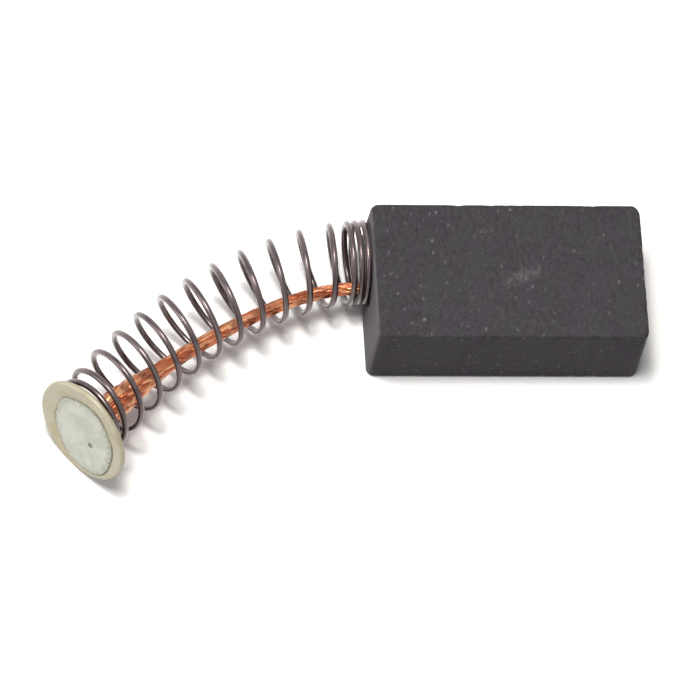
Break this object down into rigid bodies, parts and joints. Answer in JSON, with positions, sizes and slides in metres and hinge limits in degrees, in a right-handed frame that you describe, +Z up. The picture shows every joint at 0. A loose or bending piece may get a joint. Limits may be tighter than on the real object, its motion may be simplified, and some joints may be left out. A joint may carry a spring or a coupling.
{
  "type": "carbon brush",
  "caption": "Carbon brush: pressed rectangular carbon block with a captive coil spring and a stranded copper shunt soldered into a round flanged end cap.",
  "frame": {"origin": "middle of the block's underside, the broad side that it lies on", "axes": "+X along the block to the contact face, -X to the spring, +Y across the block, +Z up through its thickness"},
  "size_m": [0.0407, 0.0188, 0.0075],
  "materials": {
    "carbon": "matte pressed carbon with fine grain",
    "tamped_copper": "matte tamped copper powder",
    "copper_rope": "bright stranded copper",
    "spring_steel": "dark drawn spring steel",
    "tinned_cap": "dull tinned sheet",
    "solder": "dull spread solder"
  },
  "bodies": {
    "root": {"carbon_block": "carbon", "tamping_fill": "tamped_copper", "shunt": "copper_rope", "spring": "spring_steel", "end_cap": "tinned_cap", "solder": "solder"}
  },
  "joints": []
}
